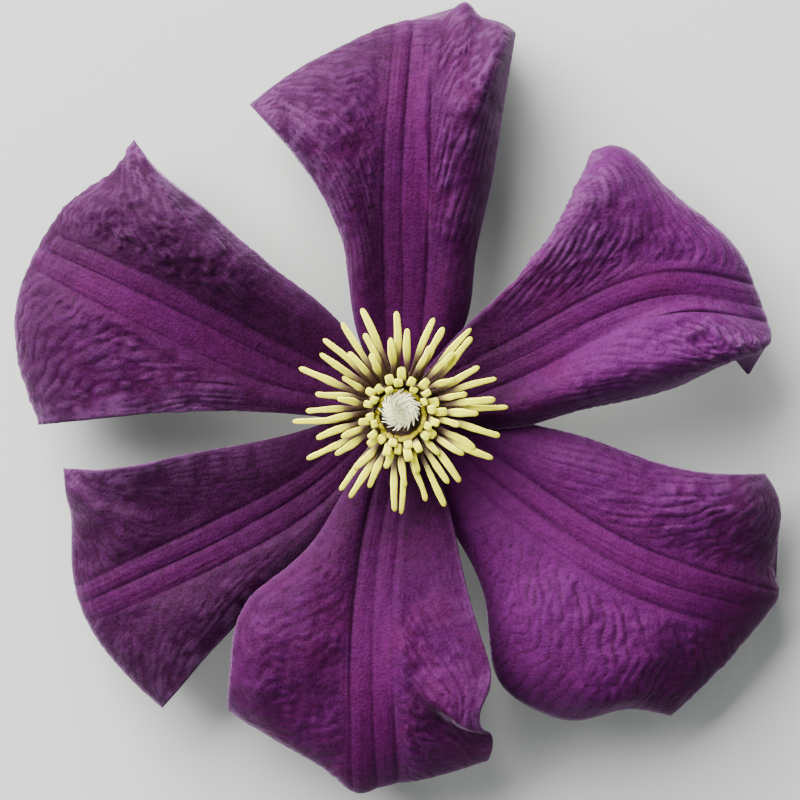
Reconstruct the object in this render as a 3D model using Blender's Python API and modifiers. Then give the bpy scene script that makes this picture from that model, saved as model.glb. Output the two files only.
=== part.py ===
"""A single purple clematis bloom, picked with a short stub of its stalk.

It lies face up on a surface, standing on the recurved tips of its three outer tepals. A clematis has
no petals: its six coloured tepals sit in two whorls of three, the inner whorl (south, northeast,
northwest) over the outer one (north, southwest, southeast). Over them stands a boss of strap-like
stamens round a tuft of styles. North is +Y. The tables are in millimetres from the bloom's axis.
"""

import math
import random

import bmesh
import bpy
import numpy as np
from mathutils import Vector

MM = 0.001

# Driving sizes, in millimetres
AXIS_SHIFT = (0.14, -1.6)     # the bloom's axis, seen from the middle of its uneven outline
SHEET = 0.7                  # thickness of a tepal's solid
RIB_COLUMN = 0.35            # where the outer two grooves run, as a share of the way to the margin
GROOVE_DEPTH = 0.3
GROOVE_WIDTH = 0.6
MARGIN_DROP_AT_BASE = 0.3
HIP_SHARPNESS = 4            # how crisp the ridge is where the end's roll meets a falling margin
LIP_STEPS = 24
BODY_ROWS = 14
FLAP_ROWS = 4
FLAP_END = 0.95              # the tip is cut blunt, this far down the flap
SEATING_PASSES = 3
# The column positions, midrib to margin: close together where the grooves are.
HALF_COLUMNS = (0.0, 0.07, 0.18, 0.28, 0.35, 0.42, 0.53, 0.68, 0.84, 1.0)

RECEPTACLE_RADIUS = 2.6
RECEPTACLE_TOP = 11.2
RECEPTACLE_BOTTOM = 7.2
STALK_RADIUS = 1.0
STALK_CUT = (1.6, -1.2, 1.6)   # the middle of the cut end
BOSS_BOTTOM = 11.9
BOSS_HOLE = 2.15
BOSS_RADIUS = 4.4
BOSS_TOP = 13.4
GOLDEN_ANGLE = math.pi * (3 - math.sqrt(5))
STAMEN_COUNT = 85
LONG_SHARE = 0.62            # the share of the stamens that arch out; the rest stand short round the tuft
LONG_REACH = (12.4, 6.6)     # the tips of the outermost and the innermost long stamens
SHORT_REACH = (4.7, 2.8)
STAMEN_WIDTH = 1.0
STAMEN_THICKNESS = 0.65
PISTIL_RADIUS = 1.75
PISTIL_BOTTOM = 11.6
PISTIL_TOP = 15.6
STYLE_COUNT = 34
STYLE_TIP_HEIGHT = 17.4
STYLE_WIDTH = 0.42

# Each tepal: its midrib and its two sides, from the base to the fold where the end rolls under; the
# fold, from the right horn to the left one; and the tip, which hangs below the fold. Left and right are
# as seen from the axis, looking out. "heights" are the control heights of the midrib's arch. "ribs" is
# the distance from the midrib to the outer grooves at the base, middle and fold. "lobes" is how far the
# right and left lobes swell, and how far out their crests lie, from 0 at the groove to 1 at the margin,
# at the base and at the fold. "falls" is how deep the right and left margins fall, over what width, and
# what share of that width is left at the fold. A fall below 0 turns the margin up.
# "roll" is how deep the end rolls under, and over what length. "lips" are the edges of a lobe that laps
# over a groove: a path, a height, and how wide the lip is on its right and on its left.
TEPALS = {
    "tepal_north": {
        "midrib": [(0.1, 3.3), (0.2, 12.0), (0.3, 26.0), (1.6, 43.8)],
        "right": [(2.9, 3.6), (7.4, 10.0), (8.4, 17.0), (10.2, 25.2), (11.7, 35.0), (13.0, 42.5)],
        "left": [(-2.7, 3.4), (-5.0, 9.5), (-6.5, 19.0), (-10.6, 26.8), (-16.9, 34.3)],
        "fold": [(13.0, 42.5), (10.9, 43.5), (8.8, 44.2), (7.4, 45.7), (5.6, 44.6), (1.6, 43.8), (-5.5, 41.3),
                 (-12.4, 37.5), (-16.9, 34.3)],
        "tip": (6.7, 45.9, 0.0),
        "heights": (8.4, 9.8, 16.6, 13.0),
        "ribs": ((1.7, 4.2, 1.6), (1.4, 2.6, 2.0)),
        "lobes": ((1.9, 0.4, 0.8), (1.5, 0.6, 0.75)),
        "falls": ((4.6, 7.5, 0.25), (1.8, 3.5, 0.8)),
        "roll": (5.4, 16.0),
        "lips": [([(4.2, 17.0), (3.2, 27.0), (2.9, 34.0), (4.8, 42.0)], 0.9, 2.5, 0.7)],
    },
    "tepal_northwest": {
        "midrib": [(-3.0, 1.3), (-11.5, 4.4), (-24.3, 10.7), (-40.6, 18.2)],
        "right": [(-2.2, 3.6), (-6.6, 9.6), (-11.4, 13.9), (-16.9, 18.2), (-22.6, 23.3), (-26.6, 26.4),
                  (-29.9, 30.4)],
        "left": [(-3.6, -1.4), (-10.1, -0.6), (-22.5, 0.0), (-34.0, -1.0), (-40.5, -1.6)],
        "fold": [(-29.9, 30.4), (-31.9, 27.0), (-36.4, 23.7), (-40.6, 18.2), (-42.9, 12.0),
                 (-42.8, 6.0), (-40.5, -1.6)],
        "tip": (-37.0, 10.5, 1.6),
        "heights": (10.2, 11.4, 17.0, 13.4),
        "ribs": ((1.4, 2.6, 2.0), (1.6, 4.2, 2.2)),
        "lobes": ((2.0, 0.55, 0.7), (0.9, 0.4, 0.5)),
        "falls": ((2.2, 4.0, 0.5), (-0.3, 3.5, 1.0)),
        "roll": (5.4, 14.0),
        "lips": [([(-38.6, 12.6), (-31.5, 9.6), (-25.9, 6.4), (-18.0, 1.9)], 0.5, 0.7, 2.0)],
    },
    "tepal_southwest": {
        "midrib": [(-2.7, -1.9), (-10.1, -8.8), (-20.0, -14.4), (-35.9, -21.9)],
        "right": [(-3.9, 0.4), (-11.0, -2.3), (-24.8, -5.1), (-34.0, -6.6), (-37.6, -6.5)],
        "left": [(-1.2, -3.6), (-6.2, -11.6), (-13.0, -18.6), (-20.2, -26.0), (-26.7, -33.5)],
        "fold": [(-37.6, -6.5), (-36.8, -12.4), (-36.8, -16.6), (-35.9, -21.9), (-31.5, -28.7),
                 (-26.7, -33.5)],
        "tip": (-32.5, -20.5, 0.0),
        "heights": (8.4, 9.4, 14.6, 12.4),
        "ribs": ((1.4, 2.6, 2.0), (1.4, 3.4, 2.2)),
        "lobes": ((0.3, 0.5, 0.5), (0.8, 0.4, 0.5)),
        "falls": ((-2.6, 7.0, 1.0), (0.8, 4.0, 1.0)),
        "roll": (5.0, 13.0),
        "lips": [([(-39.0, -5.2), (-35.6, -8.6), (-31.6, -11.2), (-26.0, -12.6)], 1.0, 2.8, 0.6)],
    },
    "tepal_south": {
        "midrib": [(0.2, -3.3), (-1.8, -12.4), (-3.0, -25.3), (-2.6, -42.4)],
        "right": [(-2.6, -3.6), (-6.8, -10.0), (-10.6, -15.8), (-17.0, -21.5), (-18.8, -28.0),
                  (-19.4, -33.7)],
        "left": [(3.0, -3.4), (5.5, -11.0), (7.4, -19.5), (9.4, -26.5), (9.9, -31.2), (9.1, -34.2),
                 (10.2, -36.2), (9.9, -39.2)],
        "fold": [(-19.4, -33.7), (-12.4, -37.8), (-6.8, -41.5), (-4.9, -42.9), (-2.6, -42.4), (2.2, -41.4),
                 (9.9, -39.2)],
        "tip": (-3.6, -38.0, 1.2),
        "heights": (10.2, 11.6, 17.2, 13.2),
        "ribs": ((1.4, 2.9, 2.6), (1.4, 2.4, 2.4)),
        "lobes": ((0.9, 0.35, 0.5), (0.5, 0.35, 0.35)),
        "falls": ((1.4, 5.0, 0.8), (-1.4, 6.0, 0.5)),
        "roll": (5.2, 14.0),
        "lips": [([(0.6, -16.0), (-0.5, -27.0), (0.0, -33.0), (2.2, -40.0)], 0.5, 0.8, 2.0),
                 ([(1.4, -29.4), (4.2, -32.4), (8.8, -34.6), (13.6, -35.0)], 1.7, 0.8, 4.0)],
    },
    "tepal_southeast": {
        "midrib": [(2.8, -1.8), (10.8, -7.9), (24.6, -17.2), (41.6, -22.6)],
        "right": [(1.2, -3.6), (5.4, -12.6), (9.6, -21.4), (11.4, -30.8), (15.1, -33.6), (20.6, -34.8),
                  (25.0, -33.6), (30.6, -34.5)],
        "left": [(4.0, 0.6), (13.0, -1.2), (21.9, -3.5), (33.4, -6.9), (41.2, -7.2)],
        "fold": [(30.6, -34.5), (35.8, -29.3), (41.6, -22.6), (42.7, -20.3), (42.1, -18.6), (42.3, -15.0),
                 (42.6, -10.0), (41.2, -7.2)],
        "tip": (42.8, -19.8, 0.0),
        "heights": (8.4, 9.4, 16.2, 13.2),
        "ribs": ((1.5, 3.0, 2.6), (1.6, 3.6, 2.2)),
        "lobes": ((0.9, 0.4, 0.5), (0.9, 0.45, 0.6)),
        "falls": ((5.0, 9.0, 0.4), (2.4, 4.0, 1.0)),
        "roll": (7.5, 21.0),
        "lips": [],
    },
    "tepal_northeast": {
        "midrib": [(3.1, 1.2), (14.8, 6.5), (30.4, 12.7), (40.7, 11.4)],
        "right": [(3.7, -1.6), (12.0, -2.0), (21.3, 0.3), (30.4, 2.4), (37.6, 6.1)],
        "left": [(2.2, 3.7), (8.0, 10.0), (15.6, 17.7), (20.0, 25.4), (21.6, 29.2)],
        "fold": [(37.6, 6.1), (41.4, 7.8), (40.7, 11.4), (38.0, 17.7), (29.2, 25.6), (24.0, 29.6),
                 (21.6, 29.2)],
        "tip": (39.6, 4.1, 1.4),
        "heights": (10.2, 11.5, 17.0, 13.2),
        "ribs": ((1.4, 2.6, 1.2), (1.4, 3.0, 2.4)),
        "lobes": ((3.0, 0.48, 0.55), (1.0, 0.85, 0.85)),
        "falls": ((4.0, 6.0, 0.5), (0.0, 4.0, 0.7)),
        "roll": (5.2, 14.0),
        "lips": [([(40.5, 9.6), (31.6, 11.0), (25.0, 8.6), (16.0, 3.8)], 0.9, 0.7, 3.0)],
    },
}


def smooth_curve(points, t):
    """A natural cubic spline through the points, spaced by their chords, read at t from 0 to 1."""
    points = np.asarray(points, float)
    knots = np.concatenate([[0.0], np.cumsum(np.linalg.norm(np.diff(points, axis=0), axis=1))])
    knots /= knots[-1]
    gaps = np.diff(knots)
    count = len(points)
    system = np.eye(count)
    change = np.zeros_like(points)
    for i in range(1, count - 1):
        system[i, i - 1:i + 2] = gaps[i - 1], 2 * (gaps[i - 1] + gaps[i]), gaps[i]
        change[i] = 6 * ((points[i + 1] - points[i]) / gaps[i] - (points[i] - points[i - 1]) / gaps[i - 1])
    bend = np.linalg.solve(system, change)
    t = np.clip(np.asarray(t, float), 0, 1)
    i = np.clip(np.searchsorted(knots, t, side="right") - 1, 0, count - 2)
    gap = gaps[i][..., None]
    after = (t - knots[i])[..., None]
    before = gap - after
    return ((bend[i] * before ** 3 + bend[i + 1] * after ** 3) / (6 * gap)
            + (points[i] / gap - bend[i] * gap / 6) * before
            + (points[i + 1] / gap - bend[i + 1] * gap / 6) * after)


def smooth_step(x):
    """0 below 0, 1 above 1, and a smooth S between."""
    x = np.clip(x, 0, 1)
    return x * x * (3 - 2 * x)


def fold_curve(tepal, v):
    """The fold at v, from -1 at the right horn, through 0 at the midrib's end, to 1 at the left horn."""
    fold = np.asarray(tepal["fold"], float)
    run = np.concatenate([[0.0], np.cumsum(np.linalg.norm(np.diff(fold, axis=0), axis=1))])
    middle = (run / run[-1])[tepal["fold"].index(tepal["midrib"][-1])]
    return smooth_curve(fold, np.where(v < 0, middle * (1 + v), middle + (1 - middle) * v))


def three_values(values, u):
    """A quadratic blend of a base, a middle and an end value along u."""
    return values[0] * (1 - u) ** 2 + 2 * values[1] * u * (1 - u) + values[2] * u ** 2


def plan_surface(tepal, u, q):
    """The tepal seen from above, and what its height needs.

    Two Coons patches share the midrib. Along u they run from the base to the fold. Across, v goes from
    the midrib to the margin as a cubic of the column q, chosen so that the column RIB_COLUMN always
    falls on the outer groove.
    """
    side = np.where(q < 0, 0, 1)
    middle = smooth_curve(tepal["midrib"], u)
    margins = np.stack([smooth_curve(tepal["right"], u), smooth_curve(tepal["left"], u)])
    margin = np.where(side[..., None] == 0, margins[0], margins[1])
    half_width = np.linalg.norm(margin - middle, axis=-1)
    ribs = np.where(side == 0, three_values(tepal["ribs"][0], u), three_values(tepal["ribs"][1], u))
    share = np.clip(ribs / half_width, 0.05, 0.46)
    slope = (share / RIB_COLUMN - RIB_COLUMN ** 2) / (1 - RIB_COLUMN ** 2)
    v = slope * np.abs(q) + (1 - slope) * np.abs(q) ** 3
    base = [smooth_curve(tepal[key], 0.0) for key in ("right", "left")]
    base_edge = np.where(side[..., None] == 0, base[0], base[1])
    base_middle = smooth_curve(tepal["midrib"], 0.0)
    fold_edge = np.where(side[..., None] == 0, fold_curve(tepal, -1.0), fold_curve(tepal, 1.0))
    fold_middle = fold_curve(tepal, 0.0)
    fold = fold_curve(tepal, np.where(side == 0, -v, v))
    u, v = u[..., None], v[..., None]
    across = (1 - v) * middle + v * margin
    along = (1 - u) * ((1 - v) * base_middle + v * base_edge) + u * fold
    corners = ((1 - u) * ((1 - v) * base_middle + v * base_edge)
               + u * ((1 - v) * fold_middle + v * fold_edge))
    return across + along - corners, v[..., 0], half_width, share * half_width


def tepal_surface(tepal, t, q):
    """Points of the tepal's middle surface, for t from 0 at the base, 1 at the fold, to 2 at the tip.

    Height is the midrib's arch, plus the swell of the two lobes, less two drops: a quarter ellipse
    that rolls the end over to vertical at the fold, and a steepening fall towards each margin. They
    are joined as the fourth root of the sum of their fourth powers, so they meet in a hip ridge that
    runs in from the horn. A margin that turns up is added instead. Past the fold the flap goes on
    straight down and curls in to the tip.
    """
    body = np.minimum(t, 1.0)
    u = 1 - (1 - body) ** 1.8
    plan, v, half_width, rib = plan_surface(tepal, u, q)
    side = np.where(q < 0, 0, 1)
    h = tepal["heights"]
    arch = (h[0] * (1 - u) ** 3 + 3 * h[1] * u * (1 - u) ** 2 + 3 * h[2] * u ** 2 * (1 - u) + h[3] * u ** 3)
    outward = np.clip((v * half_width - rib) / (half_width - rib), 0, 1)
    swell, crest_at_base, crest_at_fold = (np.where(side == 0, *pair) for pair in zip(*tepal["lobes"]))
    crest = crest_at_base + (crest_at_fold - crest_at_base) * u
    power = math.log(0.5) / np.log(crest)
    lean = ((outward + 0.06) ** power - 0.06 ** power) / (1.06 ** power - 0.06 ** power)
    swell = swell * np.sin(0.75 * math.pi * u) * np.sin(math.pi * lean)
    reach = np.linalg.norm(np.diff(tepal["midrib"], axis=0), axis=1).sum()
    roll_depth, roll_length = tepal["roll"]
    roll = np.clip(1 - (1 - u) * reach / roll_length, 0, 1)
    front_drop = roll_depth * (1 - np.sqrt(1 - roll ** 2))
    fall_depth, fall_width, left_at_fold = (np.where(side == 0, *pair) for pair in zip(*tepal["falls"]))
    narrowed = 1 - (1 - left_at_fold) * smooth_step(2 * u - 1)
    fall_width = np.minimum(fall_width * (0.4 + 0.6 * np.sin(1.9 * u)) * narrowed, 0.8 * half_width)
    fall = np.clip(1 - (1 - v) * half_width / fall_width, 0, 1)
    fall_depth = MARGIN_DROP_AT_BASE + fall_depth * np.clip(u / 0.75, 0, 1) ** 1.5
    side_drop = fall_depth * fall ** 1.7
    turned_up = np.minimum(side_drop, 0)
    side_drop = side_drop - turned_up
    drop = (front_drop ** HIP_SHARPNESS + side_drop ** HIP_SHARPNESS) ** (1 / HIP_SHARPNESS)
    height = arch + swell - drop - turned_up
    w = np.clip(t - 1, 0, 1)
    tip = np.asarray(tepal["tip"], float)
    plan = plan + (tip[:2] - plan) * (w ** 2)[..., None]
    height = height + (tip[2] - height) * w
    return np.concatenate([plan, height[..., None]], axis=-1), v * half_width, rib


def lip(points, path, height, right_width, left_width):
    """A raised edge: a bell of the distance from the path, with its own width on each side, that
    swells from nothing at the path's first point to full height at its middle and back."""
    line = smooth_curve(path, np.linspace(0, 1, LIP_STEPS))
    offset = points[..., None, :2] - line
    distance = np.linalg.norm(offset, axis=-1)
    nearest = distance.argmin(axis=-1)
    heading = np.gradient(line, axis=0)[nearest]
    away = np.take_along_axis(offset, nearest[..., None, None], axis=-2)[..., 0, :]
    left = heading[..., 0] * away[..., 1] - heading[..., 1] * away[..., 0] > 0
    width = np.where(left, left_width, right_width)
    share = nearest / (LIP_STEPS - 1)
    return height * np.exp(-(distance.min(axis=-1) / width) ** 2) * np.sin(math.pi * share)


def relief(tepal, t, q, points, across, rib):
    """What stands off the smooth surface: three grooves, on the midrib and to each side, and the lips."""
    notches = np.exp(-(across / GROOVE_WIDTH) ** 2) + np.exp(-((across - rib) / GROOVE_WIDTH) ** 2)
    fade = np.clip(t / 0.15, 0, 1) * np.clip((1.6 - t) / 0.6, 0, 1)
    raised = -GROOVE_DEPTH * notches * fade
    on_top = np.clip((1.0 - t) / 0.1, 0, 1)
    for path, height, right_width, left_width in tepal["lips"]:
        raised = raised + lip(points, path, height, right_width, left_width) * on_top
    return raised


def normals_of(grid):
    """Unit normals of a grid of points, facing up: the cross product of its two differences, with rows
    running out along the tepal and columns from its right side to its left."""
    normal = np.cross(np.gradient(grid, axis=0), np.gradient(grid, axis=1))
    return normal / np.linalg.norm(normal, axis=-1, keepdims=True)


def clear_scene():
    for item in list(bpy.data.objects):
        bpy.data.objects.remove(item)


def new_collection(name):
    collection = bpy.data.collections.new(name)
    bpy.context.scene.collection.children.link(collection)
    return collection


def finish(name, color, roughness, metallic=0.0):
    """A Principled material of one colour, given in linear RGB."""
    material = bpy.data.materials.new(name)
    material.use_nodes = True
    shader = material.node_tree.nodes["Principled BSDF"]
    shader.inputs["Base Color"].default_value = (*color, 1)
    shader.inputs["Roughness"].default_value = roughness
    shader.inputs["Metallic"].default_value = metallic
    return material


def mesh_object(name, bm, collection, material=None):
    mesh = bpy.data.meshes.new(name)
    bm.to_mesh(mesh)
    bm.free()
    piece = bpy.data.objects.new(name, mesh)
    collection.objects.link(piece)
    if material:
        mesh.materials.append(material)
    return piece


def add_modifier(piece, kind, **settings):
    modifier = piece.modifiers.new(kind.title(), kind)
    for key, value in settings.items():
        setattr(modifier, key, value)
    return modifier


def evaluated_mesh(piece):
    """A copy of the object's mesh with its modifiers applied."""
    graph = bpy.context.evaluated_depsgraph_get()
    return bpy.data.meshes.new_from_object(piece.evaluated_get(graph))


def sheet_mesh(name, grid):
    """A grid of points as an open sheet of triangles, facing up, each square split the same way."""
    rows, columns = grid.shape[:2]
    bm = bmesh.new()
    corners = [bm.verts.new(point * MM) for point in grid.reshape(-1, 3)]
    for i in range(rows - 1):
        for j in range(columns - 1):
            a, b = i * columns + j, (i + 1) * columns + j
            bm.faces.new([corners[a], corners[b], corners[a + 1]])
            bm.faces.new([corners[a + 1], corners[b], corners[b + 1]])
    mesh = bpy.data.meshes.new(name)
    bm.to_mesh(mesh)
    bm.free()
    return mesh


def tepal_grid(tepal):
    half = np.array(HALF_COLUMNS)
    columns = np.concatenate([-half[:0:-1], half])
    rows = np.concatenate([np.linspace(0, 1, BODY_ROWS), np.linspace(1, 1 + FLAP_END, FLAP_ROWS + 1)[1:]])
    t, q = np.meshgrid(rows, columns, indexing="ij")
    grid, across, rib = tepal_surface(tepal, t, q)
    return grid + normals_of(grid) * relief(tepal, t, q, grid, across, rib)[..., None]


def build_tepal(name, tepal, collection, material):
    """One tepal: an open waved sheet given its thickness. A tip of height 0 is set down on the surface."""
    piece = bpy.data.objects.new(name, sheet_mesh(name, tepal_grid(tepal)))
    collection.objects.link(piece)
    piece.data.materials.append(material)
    add_modifier(piece, "SOLIDIFY", thickness=SHEET * MM, offset=0.0)
    if tepal["tip"][2] == 0:
        seated = dict(tepal)
        for _ in range(SEATING_PASSES):
            lowest = min(vertex.co.z for vertex in evaluated_mesh(piece).vertices) / MM
            x, y, z = seated["tip"]
            seated["tip"] = (x, y, z - lowest / FLAP_END)
            old = piece.data
            piece.data = sheet_mesh(name, tepal_grid(seated))
            piece.data.materials.append(material)
            bpy.data.meshes.remove(old)
    return piece


def strap(name, path, widths, thickness, collection, across):
    """A closed strap of four sides carried along a path, its width across the given direction."""
    bm = bmesh.new()
    rings = []
    for i, point in enumerate(path):
        ahead = path[min(i + 1, len(path) - 1)] - path[max(i - 1, 0)]
        side = across.normalized() * widths[i] / 2
        up = ahead.cross(across).normalized() * thickness * min(1, widths[i] / widths[1]) / 2
        rings.append([bm.verts.new((point + corner) * MM) for corner in (side, up, -side, -up)])
    for low, high in zip(rings, rings[1:]):
        for k in range(4):
            bm.faces.new([low[k], low[k - 1], high[k - 1], high[k]])
    bm.faces.new(rings[0])
    bm.faces.new(rings[-1][::-1])
    bmesh.ops.recalc_face_normals(bm, faces=bm.faces)
    return mesh_object(name, bm, collection)


def bezier(start, handle, end, count):
    """Points along a quadratic arc."""
    shares = [i / (count - 1) for i in range(count)]
    return [start * (1 - s) ** 2 + handle * 2 * s * (1 - s) + end * s ** 2 for s in shares]


def turned(name, profile, collection, steps, material=None):
    """A profile of (radius, height) pairs, outer side from top to bottom, turned round the axis."""
    mesh = bpy.data.meshes.new(name)
    points = [(radius * MM, 0, height * MM) for radius, height in profile]
    mesh.from_pydata(points, [(i, i + 1) for i in range(len(points) - 1)], [])
    piece = bpy.data.objects.new(name, mesh)
    collection.objects.link(piece)
    add_modifier(piece, "SCREW", steps=steps, render_steps=steps, use_merge_vertices=True,
                 merge_threshold=1e-6)
    if material:
        mesh.materials.append(material)
    return piece


def fuse(name, core, repeats, collection, material):
    """One solid from the core and every object in the repeats' collection, which is then emptied."""
    union = add_modifier(core, "BOOLEAN", operation="UNION", operand_type="COLLECTION", solver="EXACT")
    union.collection = repeats
    mesh = evaluated_mesh(core)
    mesh.name = name
    mesh.materials.clear()
    mesh.materials.append(material)
    piece = bpy.data.objects.new(name, mesh)
    collection.objects.link(piece)
    for item in [core, *repeats.objects]:
        bpy.data.objects.remove(item)
    return piece


def radial(radius, angle, height):
    return Vector((radius * math.cos(angle), radius * math.sin(angle), height))


def stamen_reach(inward):
    """How far from the axis a stamen's tip is, from the outermost at 0 to the innermost at 1."""
    if inward < LONG_SHARE:
        return LONG_REACH[0] + (LONG_REACH[1] - LONG_REACH[0]) * (inward / LONG_SHARE) ** 1.3
    share = (inward - LONG_SHARE) / (1 - LONG_SHARE)
    return SHORT_REACH[0] + (SHORT_REACH[1] - SHORT_REACH[0]) * share


def build_stamens(collection, helpers, material):
    """The boss: a ring core with stamens at the golden angle, from long arching outer ones to short
    upright inner ones, with a seeded jitter."""
    draw = random.Random(7)
    core = turned("boss_core", [(BOSS_HOLE, BOSS_TOP), (BOSS_RADIUS - 1.0, BOSS_TOP),
                                (BOSS_RADIUS, BOSS_TOP - 0.8), (BOSS_RADIUS, BOSS_BOTTOM),
                                (BOSS_HOLE, BOSS_BOTTOM), (BOSS_HOLE, BOSS_TOP)], collection, 24)
    core.data = evaluated_mesh(core)
    core.modifiers.clear()
    for i in range(STAMEN_COUNT):
        inward = i / (STAMEN_COUNT - 1)
        angle = i * GOLDEN_ANGLE
        reach = stamen_reach(inward) * (1 + draw.uniform(-0.07, 0.05))
        root_radius = 3.7 - 0.9 * inward
        rise = 15.2 + 2.0 * inward + draw.uniform(-0.5, 0.5)
        sway = draw.uniform(-0.09, 0.09)
        root = radial(root_radius, angle, BOSS_BOTTOM + 0.6)
        tip = radial(reach, angle + sway, rise)
        handle = radial(root_radius + 0.3 * (reach - root_radius), angle, rise + 1.2 * (1 - inward))
        across = radial(1, angle + math.pi / 2, 0)
        path = bezier(root, handle, tip, 5)
        widths = [share * STAMEN_WIDTH for share in (0.7, 0.9, 1.05, 0.95, 0.6)]
        strap("stamen", path, widths, STAMEN_THICKNESS, helpers, across)
    return fuse("stamens", core, helpers, collection, material)


def build_pistil(collection, helpers, material):
    """The tuft: a domed core of seed heads and a whorl of styles that lean out and turn one way."""
    draw = random.Random(11)
    core = turned("pistil_core", [(0, PISTIL_TOP), (0.8, PISTIL_TOP - 0.15), (1.4, PISTIL_TOP - 0.7),
                                  (PISTIL_RADIUS, PISTIL_TOP - 1.8), (PISTIL_RADIUS, PISTIL_BOTTOM),
                                  (0, PISTIL_BOTTOM)], collection, 16)
    core.data = evaluated_mesh(core)
    core.modifiers.clear()
    for i in range(STYLE_COUNT):
        outward = math.sqrt((i + 0.5) / STYLE_COUNT)
        angle = i * GOLDEN_ANGLE
        root = radial(1.2 * outward, angle, PISTIL_TOP - 1.6)
        handle = radial(1.35 * outward, angle - 0.3, STYLE_TIP_HEIGHT - 0.7)
        height = STYLE_TIP_HEIGHT - 0.9 * outward ** 2 + draw.uniform(-0.2, 0.2)
        tip = radial(2.15 * outward, angle - 0.9, height)
        widths = [share * STYLE_WIDTH for share in (1.0, 1.0, 0.9, 0.6)]
        strap("style", bezier(root, handle, tip, 4), widths, STYLE_WIDTH, helpers,
              radial(1, angle + math.pi / 2, 0))
    return fuse("pistil", core, helpers, collection, material)


def build_pedicel(collection, helpers, material):
    """The cut stub of stalk under the bloom, with the receptacle that the tepals grow round."""
    core = turned("receptacle", [(0, RECEPTACLE_TOP), (RECEPTACLE_RADIUS - 0.6, RECEPTACLE_TOP),
                                 (RECEPTACLE_RADIUS, RECEPTACLE_TOP - 0.5),
                                 (RECEPTACLE_RADIUS, RECEPTACLE_BOTTOM + 1.2),
                                 (STALK_RADIUS + 0.2, RECEPTACLE_BOTTOM), (0, RECEPTACLE_BOTTOM)],
                  collection, 20)
    core.data = evaluated_mesh(core)
    core.modifiers.clear()
    curve = bpy.data.curves.new("stalk", "CURVE")
    curve.dimensions = "3D"
    curve.bevel_depth = STALK_RADIUS * MM
    curve.bevel_resolution = 2
    curve.use_fill_caps = True
    line = curve.splines.new("POLY")
    top = Vector((0, 0, RECEPTACLE_BOTTOM + 1.0))
    route = bezier(top, Vector((0, 0, STALK_CUT[2] + 2.2)), Vector(STALK_CUT), 6)
    line.points.add(len(route) - 1)
    for place, point in zip(line.points, route):
        place.co = (*(point * MM), 1)
    guide = bpy.data.objects.new("stalk", curve)
    helpers.objects.link(guide)
    bm = bmesh.new()
    bm.from_mesh(evaluated_mesh(guide))
    bmesh.ops.remove_doubles(bm, verts=bm.verts, dist=1e-6)
    bpy.data.objects.remove(guide)
    mesh_object("stalk_solid", bm, helpers)
    return fuse("pedicel", core, helpers, collection, material)


def main():
    clear_scene()
    bloom = new_collection("clematis_bloom")
    helpers = new_collection("clematis_helpers")
    purple = finish("tepal_purple", (0.085, 0.012, 0.085), 0.65)
    pieces = [build_tepal(name, tepal, bloom, purple) for name, tepal in TEPALS.items()]
    pieces.append(build_stamens(bloom, helpers, finish("anther_cream", (0.70, 0.62, 0.22), 0.6)))
    pieces.append(build_pistil(bloom, helpers, finish("style_white", (0.85, 0.85, 0.66), 0.5)))
    pieces.append(build_pedicel(bloom, helpers, finish("stalk_green", (0.10, 0.16, 0.05), 0.6)))
    axis = bpy.data.objects.new("bloom_axis", None)
    bloom.objects.link(axis)
    axis.location = (AXIS_SHIFT[0] * MM, AXIS_SHIFT[1] * MM, 0)
    for piece in pieces:
        piece.parent = axis
    bpy.data.collections.remove(helpers)


if __name__ == "__main__":
    main()
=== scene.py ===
# %% [markdown]
# # A purple clematis bloom, seen from above
#
# The bloom lies face up on a pale table, picked with a stub of its stalk. A clematis has no petals: the
# six purple sheets are tepals, three in an inner whorl over three in an outer one, and they carry the
# look of the flower. Round the middle stands a boss of strap-like stamens about a tuft of styles.
#
# Every piece here is a surface worked out with numpy: a function of two parameters on a grid, or a
# profile carried along a path. The solid model gives the frame, and each fine piece takes the place of
# its plain solid.

# %% Load the frame
import math
import random

import bpy
import numpy as np
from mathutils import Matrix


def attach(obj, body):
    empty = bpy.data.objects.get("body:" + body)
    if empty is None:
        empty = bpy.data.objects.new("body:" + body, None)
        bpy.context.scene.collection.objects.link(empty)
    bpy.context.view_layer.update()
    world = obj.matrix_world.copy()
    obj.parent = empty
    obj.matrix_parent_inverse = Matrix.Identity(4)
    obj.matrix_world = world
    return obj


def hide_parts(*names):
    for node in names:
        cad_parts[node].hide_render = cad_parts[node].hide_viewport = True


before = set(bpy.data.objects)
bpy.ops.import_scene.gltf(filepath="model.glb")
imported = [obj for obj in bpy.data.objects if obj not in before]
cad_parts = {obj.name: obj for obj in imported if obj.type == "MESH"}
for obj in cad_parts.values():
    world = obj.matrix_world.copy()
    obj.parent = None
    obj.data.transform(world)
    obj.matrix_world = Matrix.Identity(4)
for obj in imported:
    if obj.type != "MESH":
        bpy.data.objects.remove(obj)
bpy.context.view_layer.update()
MM = 0.001
AXIS = np.array([0.14, -1.6, 0.0])   # the bloom's axis, in mm: its uneven outline is centred on the origin
print("nodes:", sorted(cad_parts))

# %% [markdown]
# ## Curves and noise
#
# Two small tools serve every piece. A natural cubic spline turns a few given points into a smooth
# line. Value noise gives the unevenness of a living thing: random heights on a lattice, joined by
# smooth steps. Its lattice is drawn from a fixed seed, so each run gives the same flower.

# %% Curves and noise
def knots_of(points):
    """How far along the line each point lies, by the chords between them, from 0 to 1."""
    run = np.concatenate([[0.0], np.cumsum(np.linalg.norm(np.diff(points, axis=0), axis=1))])
    return run / run[-1]


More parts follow.
